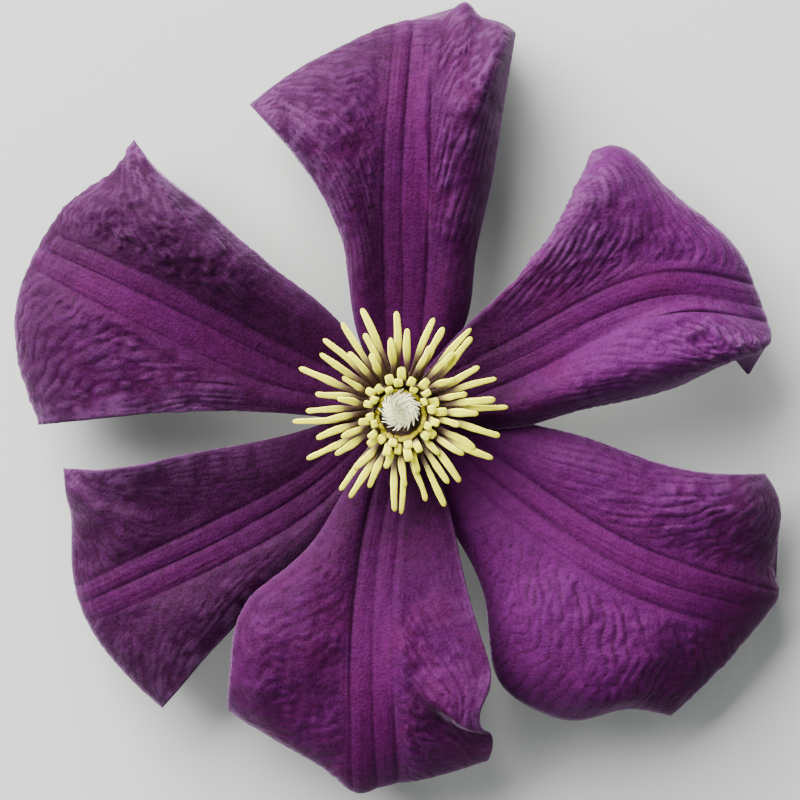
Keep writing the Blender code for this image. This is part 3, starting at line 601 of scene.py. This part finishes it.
def tepal_points(name, tepal, seed):
    """Both faces of one tepal, as one array of points, with its maps: the middle surface, half the
    thickness up or down its normal. The under face follows less of the relief, and its ribs stand out."""
    body = 1 - (1 - np.linspace(0, 1, BODY_ROWS)) ** 0.75
    rows = np.concatenate([body, np.linspace(1, 1 + FLAP_END, FLAP_ROWS + 1)[1:]])
    t, q = np.meshgrid(rows, np.linspace(-1, 1, COLUMNS), indexing="ij")
    middle, place = tepal_surface(tepal, t, q)
    normal = evened(normals_of(middle))
    relief, maps = tepal_relief(name, tepal, t, middle, place, seed)
    thin = 1 - 0.6 * np.abs(q) ** 16
    top = middle + normal * (relief + THICKNESS / 2 * thin)[..., None]
    under = BACK_RELIEF * relief - THICKNESS / 2 * thin - BACK_RIBS * maps["groove"]
    under = middle + normal * under[..., None]
    maps["back"] = 0 * t
    both = {key: np.concatenate([value.ravel(), value[::2, ::2].ravel()]) for key, value in maps.items()}
    both["back"][t.size:] = 1
    return np.concatenate([top.reshape(-1, 3), under[::2, ::2].reshape(-1, 3)]), both


def build_tepal(name, tepal, seed):
    """One tepal as a closed sheet. An outer one's tip is let down until it just meets the table."""
    tepal = dict(tepal)
    points, maps = tepal_points(name, tepal, seed)
    for _ in range(SEATING_PASSES if tepal["tip"][2] == 0 else 0):
        x, y, z = tepal["tip"]
        tepal["tip"] = (x, y, z - points[:, 2].min() / FLAP_END)
        points, maps = tepal_points(name, tepal, seed)
    return make_mesh(name + "_fine", points, sheet_faces(BODY_ROWS + FLAP_ROWS, COLUMNS), maps)


tepal_pieces = {}
for number, (name, tepal) in enumerate(TEPALS.items()):
    tepal_pieces[name] = build_tepal(name, tepal, 10.0 + 7.3 * number)
    heights = [corner[2] / MM for corner in tepal_pieces[name].bound_box]
    print(name, "stands from", round(min(heights), 2), "to", round(max(heights), 2), "mm")

# %% [markdown]
# ## The velvet finish
#
# The colour isn't one purple. The bars between the ribs are redder and the side veins are dark red,
# which is the tepal's own colour. The rest is painted light and shade: painted shade deepens the grooves
# and the furrows between the swells, a painted highlight pales the swells, a painted sheen pales the rim
# still more, a painted shadow lies beyond each raised lip, and each lobe, base and end is painted darker
# or lighter as the light falls on it. One could paint all this on an image, but the relief's own maps put
# each colour where its form is. Fine hairs scatter light at grazing angles, which shows as a lilac bloom
# on every slope: that is the sheen of the shader. A fine grain gives the velvet its sparkle.

# %% Node helpers
def new_material(name):
    """A material, with its node tree and its Principled shader."""
    material = bpy.data.materials.new(name)
    material.use_nodes = True
    tree = material.node_tree
    return material, tree, tree.nodes["Principled BSDF"]


def add(tree, kind, **settings):
    """Add a node. Settings whose name is an input's go to that input, the others to the node."""
    node = tree.nodes.new(kind)
    for key, value in settings.items():
        if key in node.inputs:
            node.inputs[key].default_value = value
        else:
            setattr(node, key, value)
    return node


def attribute(tree, name):
    """The piece's own value of that name at each point."""
    return add(tree, "ShaderNodeAttribute", attribute_name=name).outputs["Fac"]


def mix(tree, factor, first, second):
    """Mix two colours, each a socket or a fixed colour, by a factor that is a socket or a number."""
    node = add(tree, "ShaderNodeMix", data_type="RGBA")
    for socket, value in ((node.inputs[0], factor), (node.inputs[6], first), (node.inputs[7], second)):
        if isinstance(value, bpy.types.NodeSocket):
            tree.links.new(value, socket)
        else:
            socket.default_value = value
    return node.outputs[2]


def stretch(tree, value, low, high, top=1.0):
    """A number stretched from the range low..high to 0..top."""
    node = add(tree, "ShaderNodeMapRange", **{"From Min": low, "From Max": high, "To Max": top})
    tree.links.new(value, node.inputs["Value"])
    return node.outputs["Result"]


def object_noise(tree, size_mm, detail):
    """Blender's noise on object coordinates, with features of about the given size."""
    coordinates = add(tree, "ShaderNodeTexCoord").outputs["Object"]
    node = add(tree, "ShaderNodeTexNoise", Scale=1000 / size_mm, Detail=detail)
    tree.links.new(coordinates, node.inputs["Vector"])
    return node.outputs["Fac"]


def roughen(tree, shader, height, strength, distance_mm):
    """Bump the shader's normal by a height."""
    bump = add(tree, "ShaderNodeBump", Strength=strength, Distance=distance_mm * MM)
    tree.links.new(height, bump.inputs["Height"])
    tree.links.new(bump.outputs["Normal"], shader.inputs["Normal"])


def finish(tree, shader, color, roughness, specular, sheen=0.0, sheen_roughness=0.3, tint=(1, 1, 1, 1)):
    """Link the colour, and set the constants of a soft finish straight on the shader."""
    tree.links.new(color, shader.inputs["Base Color"])
    constants = {"Roughness": roughness, "Specular IOR Level": specular, "Sheen Weight": sheen,
                 "Sheen Roughness": sheen_roughness, "Sheen Tint": tint}
    for key, value in constants.items():
        shader.inputs[key].default_value = value


# %% The tepals' velvet
PURPLE = (0.03407, 0.000963, 0.03333, 1)
PLUM = (0.04148, 0.000963, 0.02889, 1)
DEEP_AND_PAINTED_SHADE = (0.008148, 0.0004444, 0.005185, 1)
VEIN = (0.0130, 0.0004, 0.0055, 1)
MAGENTA = (0.06074, 0.00163, 0.04889, 1)
VIOLET_AND_PAINTED_LIGHT = (0.07111, 0.005926, 0.07259, 1)
PAINTED_SHEEN_COLOR = (0.1111, 0.04074, 0.1148, 1)
BACK = (0.0963, 0.02963, 0.09259, 1)
LILAC = (0.80, 0.50, 0.85, 1)

# The maps tint the colour one after another: the range of the map that counts, how strongly, and to what.
# Ridge paints a highlight, the shading map painted light below 0 and painted shade above it, the furrow and
# groove maps painted shade, and rim a painted sheen; bar, vein and back are the tepal's own colour.
TINTS = [
    ("bar", 0, 1, 0.5, MAGENTA), ("ridge", 0.15, 1.0, 0.6, VIOLET_AND_PAINTED_LIGHT), ("painted_shading", 0, -1, 1.0, VIOLET_AND_PAINTED_LIGHT),
    ("painted_shading", 0, 1, 1.0, DEEP_AND_PAINTED_SHADE), ("painted_furrow_shade", 0.15, 0.8, 0.7, DEEP_AND_PAINTED_SHADE), ("vein", 0, 1, 1.0, VEIN),
    ("groove", 0.2, 1.1, 0.5, DEEP_AND_PAINTED_SHADE), ("rim", 0.0, 1.3, 0.62, PAINTED_SHEEN_COLOR), ("back", 0, 1, 1.0, BACK),
]


def velvet():
    """Purple in patches, tinted by the maps, some the tepal's own colour and some painted shade, highlight
    and sheen, then by blots and by the grain, which is also the bump.
    """
    material, tree, shader = new_material("tepal_velvet")
    patches = stretch(tree, object_noise(tree, 5.0, 4.0), 0.40, 0.60)
    color = mix(tree, patches, PURPLE, PLUM)
    for name, low, high, top, tint in TINTS:
        color = mix(tree, stretch(tree, attribute(tree, name), low, high, top), color, tint)
    blots = stretch(tree, object_noise(tree, 1.1, 2.0), 0.35, 0.65)
    color = mix(tree, blots, mix(tree, 0.25, color, DEEP_AND_PAINTED_SHADE), mix(tree, 0.15, color, VIOLET_AND_PAINTED_LIGHT))
    grain = stretch(tree, object_noise(tree, 0.30, 3.0), 0.3, 0.7)
    color = mix(tree, grain, mix(tree, 0.35, color, DEEP_AND_PAINTED_SHADE), mix(tree, 0.20, color, VIOLET_AND_PAINTED_LIGHT))
    finish(tree, shader, color, roughness=0.60, specular=0.037, sheen=0.335, sheen_roughness=0.30, tint=LILAC)
    roughen(tree, shader, grain, strength=0.45, distance_mm=0.10)
    return material


velvet_material = velvet()
for name, piece in tepal_pieces.items():
    piece.data.materials.append(velvet_material)
    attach(piece, "root")
    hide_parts(name)
print("velvet on", len(tepal_pieces), "tepals")

# %% [markdown]
# ## Stamens
#
# The boss is a crowd of flat straps. Long ones arch out over the tepals, and short ones stand close
# round the styles. Each has a dusky filament, and an anther with a pollen sac down each side of a
# yellower middle. Modelling one and scattering copies would make them all alike, so all are worked out at
# once as one array, each with its own reach, bend and twist. They follow the golden angle, as the real
# spiral of stamens does.

# %% The stamens' places
GOLDEN_ANGLE = math.pi * (3 - math.sqrt(5))
STAMEN_COUNT = 85
LONG_SHARE = 0.62
LONG_REACH = (12.4, 6.6)
SHORT_REACH = (4.7, 2.8)
BOSS_BOTTOM = 11.9
BOSS_TOP = 13.4
BOSS_RADIUS = 4.4
BOSS_HOLE = 2.15
BOSS_AROUND = 60
INNER_COUNT = 30
INNER_REACH = 2.6
INNER_ROOT = 2.5
INNER_RISE = 15.6
STAMEN_ROWS = 22
STAMEN_AROUND = 14


def radial(radius, angle, height):
    """Points at a radius, an angle and a height round the axis."""
    return np.stack(np.broadcast_arrays(radius * np.cos(angle), radius * np.sin(angle), height), axis=-1)


def arc(start, handle, end, s):
    """A quadratic arc for each of many starts, handles and ends."""
    s = np.asarray(s)[:, None]
    start, handle, end = start[:, None], handle[:, None], end[:, None]
    return start * (1 - s) ** 2 + 2 * handle * s * (1 - s) + end * s ** 2


draw = random.Random(7)
jitter = np.array([[draw.uniform(-0.07, 0.05), draw.uniform(-0.5, 0.5), draw.uniform(-0.09, 0.09)]
                   for _ in range(STAMEN_COUNT + INNER_COUNT)])
order = np.arange(STAMEN_COUNT + INNER_COUNT)
inward = np.minimum(order / (STAMEN_COUNT - 1), 1)
is_long = inward < LONG_SHARE
is_inner = order >= STAMEN_COUNT
short = (inward - LONG_SHARE) / (1 - LONG_SHARE)
reach = np.where(is_long,
                 LONG_REACH[0] + (LONG_REACH[1] - LONG_REACH[0]) * (inward / LONG_SHARE) ** 1.3,
                 SHORT_REACH[0] + (SHORT_REACH[1] - SHORT_REACH[0]) * short)
reach = np.where(is_inner, INNER_REACH, reach) * (1 + jitter[:, 0])
stamen_angle = order * GOLDEN_ANGLE
root_radius = np.where(is_inner, INNER_ROOT, 3.7 - 0.9 * inward)
rise = np.where(is_inner, INNER_RISE, 15.2 + 2.0 * inward) + jitter[:, 1]
print(int(is_long.sum()), "long stamens reach", reach.max().round(1), "mm;",
      int((~is_long).sum()), "are short")

# %% Build the stamens
def build_boss():
    """The ring that the stamens stand on: a rounded section turned round the axis, with a hole."""
    section = np.array([(BOSS_HOLE, BOSS_BOTTOM), (BOSS_HOLE, BOSS_TOP - 0.2), (BOSS_HOLE + 0.3, BOSS_TOP),
                        (BOSS_RADIUS - 1.2, BOSS_TOP), (BOSS_RADIUS - 0.4, BOSS_TOP - 0.4),
                        (BOSS_RADIUS, BOSS_TOP - 1.0), (BOSS_RADIUS, BOSS_BOTTOM)])
    points = radial(section[:, :1], circle(BOSS_AROUND), section[:, 1:])
    return points.reshape(-1, 3), grid_quads(len(section), BOSS_AROUND, wrap=True, ring=True)[:, ::-1]


def build_stamens():
    """Each stamen: an arc from the boss, its width w(s) from filament to anther with a rounded end, and
    a section pinched in the middle, where the two pollen sacs meet."""
    s = 1 - (1 - np.linspace(0, 1, STAMEN_ROWS)) ** 1.5
    psi = circle(STAMEN_AROUND)
    root = radial(root_radius, stamen_angle, BOSS_BOTTOM + 0.6)
    tip = radial(reach, stamen_angle + jitter[:, 2], rise)
    handle = radial(root_radius + 0.3 * (reach - root_radius), stamen_angle, rise + 1.2 * (1 - inward))
    lean = np.where(is_long, 0.0, 0.6)[:, None] * np.array([0.2, -1.0, 0.0])
    path = arc(root, handle + lean, tip + lean, s)
    across = radial(1.0, stamen_angle + math.pi / 2, 0.0)[:, None]
    seeds = order[:, None] * 3.7
    path = path + across * (0.35 * noise(s * 2.2 + seeds, seeds) * s)[..., None] * is_long[:, None, None]
    path[..., 2] += 0.25 * noise(s * 2.5 + seeds + 50, seeds) * s
    outward = radial(1.0, stamen_angle, 0.0)[:, None]
    curl = np.where(is_long, 0.0, np.where(is_inner, 0.25, 0.5))[:, None, None]
    curl = curl * smooth_step((s - 0.7) / 0.3)[:, None]
    path = path + outward * curl - np.array([0, 0, 0.35]) * curl
    length = np.linalg.norm(np.diff(path, axis=1), axis=-1).sum(axis=1)[:, None]
    anther = smooth_step((s - np.where(is_long, 0.36, 0.45)[:, None]) / 0.34)
    to_end = (1 - s) * length
    round_end = np.sqrt(np.clip(1 - (1 - np.clip(to_end / 0.42, 0, 1)) ** 2, 0.03, 1))
    long_width = 0.60 + 0.20 * anther - 0.26 * s ** 3
    width = np.where(is_long[:, None], long_width, 0.80) * round_end
    width = width * (1 + 0.16 * noise(s * 7 + seeds, seeds + 5)) * (1 + 0.12 * noise(seeds, seeds + 9))
    thickness = (0.36 + 0.14 * anther) * round_end
    pinch = 1 - 0.50 * anther[..., None] * np.exp(-(np.cos(psi) / 0.32) ** 2)
    lobed = 1 + 0.10 * anther[..., None] * np.abs(np.cos(psi))
    points = carry(path, across, width[..., None] * lobed, thickness[..., None] * pinch, psi)
    shape = points.shape[:3]
    ripples = noise(points[..., 0] * 2.5, points[..., 1] * 2.5 + points[..., 2])
    points[..., 2] += 0.05 * ripples * anther[..., None]
    boss_points, boss_faces = build_boss()
    # Painted shadow: the map is lower the lower a point stands, and cut to three tenths on the inner ring.
    light = 1 - 0.70 * is_inner[:, None, None]
    maps = {"anther": np.broadcast_to(anther[..., None], shape),
            "sac": np.broadcast_to(np.abs(np.cos(psi)) ** 1.5, shape),
            "painted_light_level": np.clip((points[..., 2] - 13.0) / 2.6, 0, 1) * light}
    maps = {key: np.concatenate([value.ravel(), np.zeros(len(boss_points))]) for key, value in maps.items()}
    count = points.size // 3
    return make_mesh("stamens_fine", np.concatenate([points.reshape(-1, 3), boss_points]),
                     carried_faces(len(order), STAMEN_ROWS, STAMEN_AROUND) + [boss_faces + count], maps)


stamens_piece = build_stamens()
print("stamens:", len(stamens_piece.data.polygons), "faces")

# %% Their finish
FILAMENT = (0.060, 0.022, 0.045, 1)
DUSK = (0.200, 0.140, 0.090, 1)
YELLOW = (0.590, 0.580, 0.001, 1)
CREAM = (0.990, 0.990, 0.080, 1)
SHADOW = (0.200, 0.135, 0.006, 1)
DUST = (0.550, 0.500, 0.010, 1)


def pollen_cream():
    """Dusky filaments turn to anthers, whose sacs are cream, with yellow between them. Low down among
    the stamens, and over the inner ring, painted shadow darkens the colour, and pollen dusts it all."""
    material, tree, shader = new_material("anther_cream")
    anther = attribute(tree, "anther")
    ripe = mix(tree, stretch(tree, attribute(tree, "sac"), 0.35, 1.05), YELLOW, CREAM)
    stalk = mix(tree, stretch(tree, anther, 0.0, 0.45), FILAMENT, DUSK)
    color = mix(tree, stretch(tree, anther, 0.30, 0.95), stalk, ripe)
    # Painted shadow: where that map is low, anthers turn to SHADOW and filaments to FILAMENT.
    shadow = mix(tree, anther, FILAMENT, SHADOW)
    color = mix(tree, stretch(tree, attribute(tree, "painted_light_level"), 0.10, 0.85), shadow, color)
    dust = stretch(tree, object_noise(tree, 0.16, 3.0), 0.35, 0.70, 0.35)
    color = mix(tree, dust, color, mix(tree, 0.5, color, DUST))
    finish(tree, shader, color, roughness=0.62, specular=0.10)
    roughen(tree, shader, object_noise(tree, 0.12, 3.0), strength=0.5, distance_mm=0.05)
    return material


stamens_piece.data.materials.append(pollen_cream())
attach(stamens_piece, "root")
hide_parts("stamens")

# %% [markdown]
# ## Styles
#
# In the very middle the styles of many small seed heads lean out and turn together like a pinwheel.
# They are silky, so they are thin tapering blades, far more of them than the solid has, laid along the
# same turning arcs over a domed core.

# %% Build the pistil
PISTIL_TOP = 15.6
STYLE_TIP_HEIGHT = 17.4
STYLE_COUNT = 300
STYLE_TURN = 0.8
STYLE_ROWS = 12
STYLE_AROUND = 6
CORE_RADIUS = 1.7
CORE_BOTTOM = 11.6
CORE_WALL = 1.6
CORE_ROWS = 12
CORE_AROUND = 40


def build_styles():
    """Blades on arcs that turn by STYLE_TURN on their way out, each tapering as 1 - 0.85 s ** 2.5."""
    scatter = np.random.default_rng(11)
    order = np.arange(STYLE_COUNT)
    outward = np.sqrt((order + 0.5) / STYLE_COUNT)
    angle = order * GOLDEN_ANGLE + scatter.uniform(-0.12, 0.12, STYLE_COUNT)
    s = np.linspace(0, 1, STYLE_ROWS)
    psi = circle(STYLE_AROUND)
    root = radial(1.5 * outward, angle, PISTIL_TOP - 1.2)
    handle = radial(1.65 * outward, angle - 0.3, STYLE_TIP_HEIGHT - 0.5 * outward)
    height = STYLE_TIP_HEIGHT - 0.9 * outward ** 2 + scatter.uniform(-0.25, 0.2, STYLE_COUNT)
    tip = radial(2.35 * outward * scatter.uniform(0.85, 1.08, STYLE_COUNT), angle - STYLE_TURN, height)
    path = arc(root, handle, tip, s)
    across = radial(1.0, angle + math.pi / 2, 0.0)[:, None]
    width = 0.34 * (1 - 0.85 * s ** 2.5) * np.ones((STYLE_COUNT, 1))
    points = carry(path, across, width[..., None], 0.35 * width[..., None], psi)
    tone = np.broadcast_to((s * outward[:, None] ** 0.7)[..., None], points.shape[:3])
    return points.reshape(-1, 3), carried_faces(STYLE_COUNT, STYLE_ROWS, STYLE_AROUND), tone.ravel()


def build_core():
    """A dome turned round the axis: radius cos(a), height sin(a), with eight shallow lobes, over a wall."""
    a = np.linspace(0, math.pi / 2 * 0.985, CORE_ROWS)
    turn = circle(CORE_AROUND)
    r = CORE_RADIUS * np.cos(a)[:, None] * (1 + 0.06 * np.cos(8 * turn))
    z = CORE_BOTTOM + CORE_WALL + (PISTIL_TOP - CORE_BOTTOM - CORE_WALL) * np.sin(a)[:, None]
    wall = radial(CORE_RADIUS, turn, CORE_BOTTOM)
    points = np.concatenate([wall, radial(r, turn, z).reshape(-1, 3)])
    return points, carried_faces(1, CORE_ROWS + 1, CORE_AROUND)


style_points, style_faces, tone = build_styles()
core_points, core_faces = build_core()
pistil_piece = make_mesh("pistil_fine", np.concatenate([style_points, core_points]),
                         style_faces + [face + len(style_points) for face in core_faces],
                         {"tone": np.concatenate([tone, np.zeros(len(core_points))])})
print("pistil:", STYLE_COUNT, "styles,", len(pistil_piece.data.polygons), "faces")

# %% Its finish
HEART = (0.75, 0.72, 0.25, 1)
SILK = (1.00, 0.98, 0.62, 1)
FLECK = (0.95, 0.93, 0.45, 1)


def silk():
    """A yellow heart turns to white silk along each style, with faint yellow flecks."""
    material, tree, shader = new_material("style_silk")
    color = mix(tree, stretch(tree, attribute(tree, "tone"), 0.0, 0.40), HEART, SILK)
    flecks = stretch(tree, object_noise(tree, 0.2, 2.0), 0.3, 0.7, 0.2)
    color = mix(tree, flecks, color, FLECK)
    finish(tree, shader, color, roughness=0.45, specular=0.35, sheen=1.0, sheen_roughness=0.5)
    return material


pistil_piece.data.materials.append(silk())
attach(pistil_piece, "root")
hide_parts("pistil")

# %% [markdown]
# ## The stalk
#
# Under the bloom is the receptacle that everything grows from, and a stub of stalk, cut where it was
# picked. The stalk is ribbed and slightly hairy, green with a purple flush.

# %% Build the pedicel
RECEPTACLE = [(0.1, 7.2), (1.2, 7.2), (2.0, 7.7), (2.55, 8.4), (2.6, 9.4), (2.6, 10.7), (2.2, 11.15),
              (0.1, 11.2)]
CUP_ROWS = 40
STALK_RADIUS = 1.0
STALK_CUT = (1.6, -1.2, 1.6)
STALK_ROWS = 60
STALK_AROUND = 48


def build_pedicel():
    """The receptacle is a profile of radius and height turned round the axis, with six shallow lobes.
    The stalk is a ribbed ring, radius (1 + 0.05 cos 6a), carried down an arc and closed at the cut."""
    turn = circle(STALK_AROUND)
    profile = smooth_curve(RECEPTACLE, np.linspace(0, 1, CUP_ROWS))
    lobes = 1 + 0.03 * np.cos(6 * turn)
    cup = radial(profile[:, :1] * lobes, turn, profile[:, 1:])
    s = np.linspace(0, 1, STALK_ROWS)
    start, bend = np.array([[0, 0, 8.2]]), np.array([[0, 0, STALK_CUT[2] + 2.2]])
    path = arc(start, bend, np.array([STALK_CUT]), s)
    ribs = 2 * STALK_RADIUS * (1 + 0.05 * np.cos(6 * turn)) * (1 + 0.15 * (1 - s[None, :, None]) ** 6)
    ribs = ribs * (1 + 0.02 * noise(turn * 3, s[None, :, None] * 12 + 3))
    stem = carry(path, np.array([[[0.6, 0.8, 0.0]]]), ribs, ribs, turn)
    points = np.concatenate([cup.reshape(-1, 3), stem.reshape(-1, 3)])
    faces = carried_faces(1, CUP_ROWS, STALK_AROUND)
    faces += [face + cup.size // 3 for face in carried_faces(1, STALK_ROWS, STALK_AROUND)]
    return make_mesh("pedicel_fine", points, faces)


pedicel_piece = build_pedicel()
print("pedicel:", len(pedicel_piece.data.polygons), "faces")

# %% Its finish
GREEN = (0.110, 0.170, 0.045, 1)
FLUSH = (0.120, 0.055, 0.060, 1)
DOWN = (0.200, 0.260, 0.100, 1)


def stalk_green():
    """Green with patches of purple flush, and a paler down over both."""
    material, tree, shader = new_material("stalk_green")
    color = mix(tree, stretch(tree, object_noise(tree, 2.5, 3.0), 0.35, 0.65), GREEN, FLUSH)
    color = mix(tree, stretch(tree, object_noise(tree, 0.3, 2.0), 0.4, 0.7, 0.4), color, DOWN)
    finish(tree, shader, color, roughness=0.55, specular=0.3, sheen=0.15, sheen_roughness=0.4)
    roughen(tree, shader, object_noise(tree, 0.25, 3.0), strength=0.5, distance_mm=0.08)
    return material


pedicel_piece.data.materials.append(stalk_green())
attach(pedicel_piece, "root")
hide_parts("pedicel")

# %% [markdown]
# ## The table, the light and the camera
#
# The bloom is seen straight from above through a long lens, so its tepals keep their true outlines. The
# light is a soft sky with two broad lamps, a high one from the upper left and a low one from the top,
# which leave the slopes that face away dark.

# %% Stage
def area_lamp(name, place, size, power):
    """A square lamp at a place, turned to face the bloom."""
    lamp = bpy.data.lights.new(name, "AREA")
    lamp.size = size
    lamp.energy = power
    item = bpy.data.objects.new(name, lamp)
    item.location = place
    direction = np.array([0, 0, 0.01]) - np.array(place)
    yaw = math.atan2(direction[1], direction[0])
    item.rotation_euler = (math.acos(-direction[2] / np.linalg.norm(direction)), 0, yaw - math.pi / 2)
    bpy.context.scene.collection.objects.link(item)


def build_stage():
    """The pale table, the sky and the two lamps."""
    bpy.ops.mesh.primitive_plane_add(size=3.0, location=(0, 0, 0))
    floor = bpy.context.object
    floor.name = "table"
    material, _, shader = new_material("pale_table")
    shader.inputs["Base Color"].default_value = (0.40, 0.41, 0.385, 1)
    shader.inputs["Roughness"].default_value = 0.8
    floor.data.materials.append(material)
    world = bpy.data.worlds.new("sky")
    world.use_nodes = True
    background = world.node_tree.nodes["Background"]
    background.inputs["Color"].default_value = (0.92, 0.95, 1.0, 1)
    background.inputs["Strength"].default_value = 0.675
    bpy.context.scene.world = world
    area_lamp("window", (-0.50, 0.55, 0.55), 0.90, 54.0)
    area_lamp("low_sky", (-0.30, 0.90, 0.16), 0.70, 32.0)


VIEW_CENTRE = (0.00014, -0.000475)
LENS = 200
VIEW_WIDTH = 0.090
FOLD_HEIGHT = 0.008


def build_camera():
    """A camera straight above, so far off that VIEW_WIDTH of the folds' height fills its frame."""
    camera = bpy.data.cameras.new("camera")
    camera.lens = LENS
    camera.clip_start = 0.01
    item = bpy.data.objects.new("camera", camera)
    distance = VIEW_WIDTH * LENS / camera.sensor_width
    item.location = (*VIEW_CENTRE, FOLD_HEIGHT + distance)
    bpy.context.scene.collection.objects.link(item)
    bpy.context.scene.camera = item
    print("camera", round(distance, 3), "m above the folds")


build_stage()
build_camera()
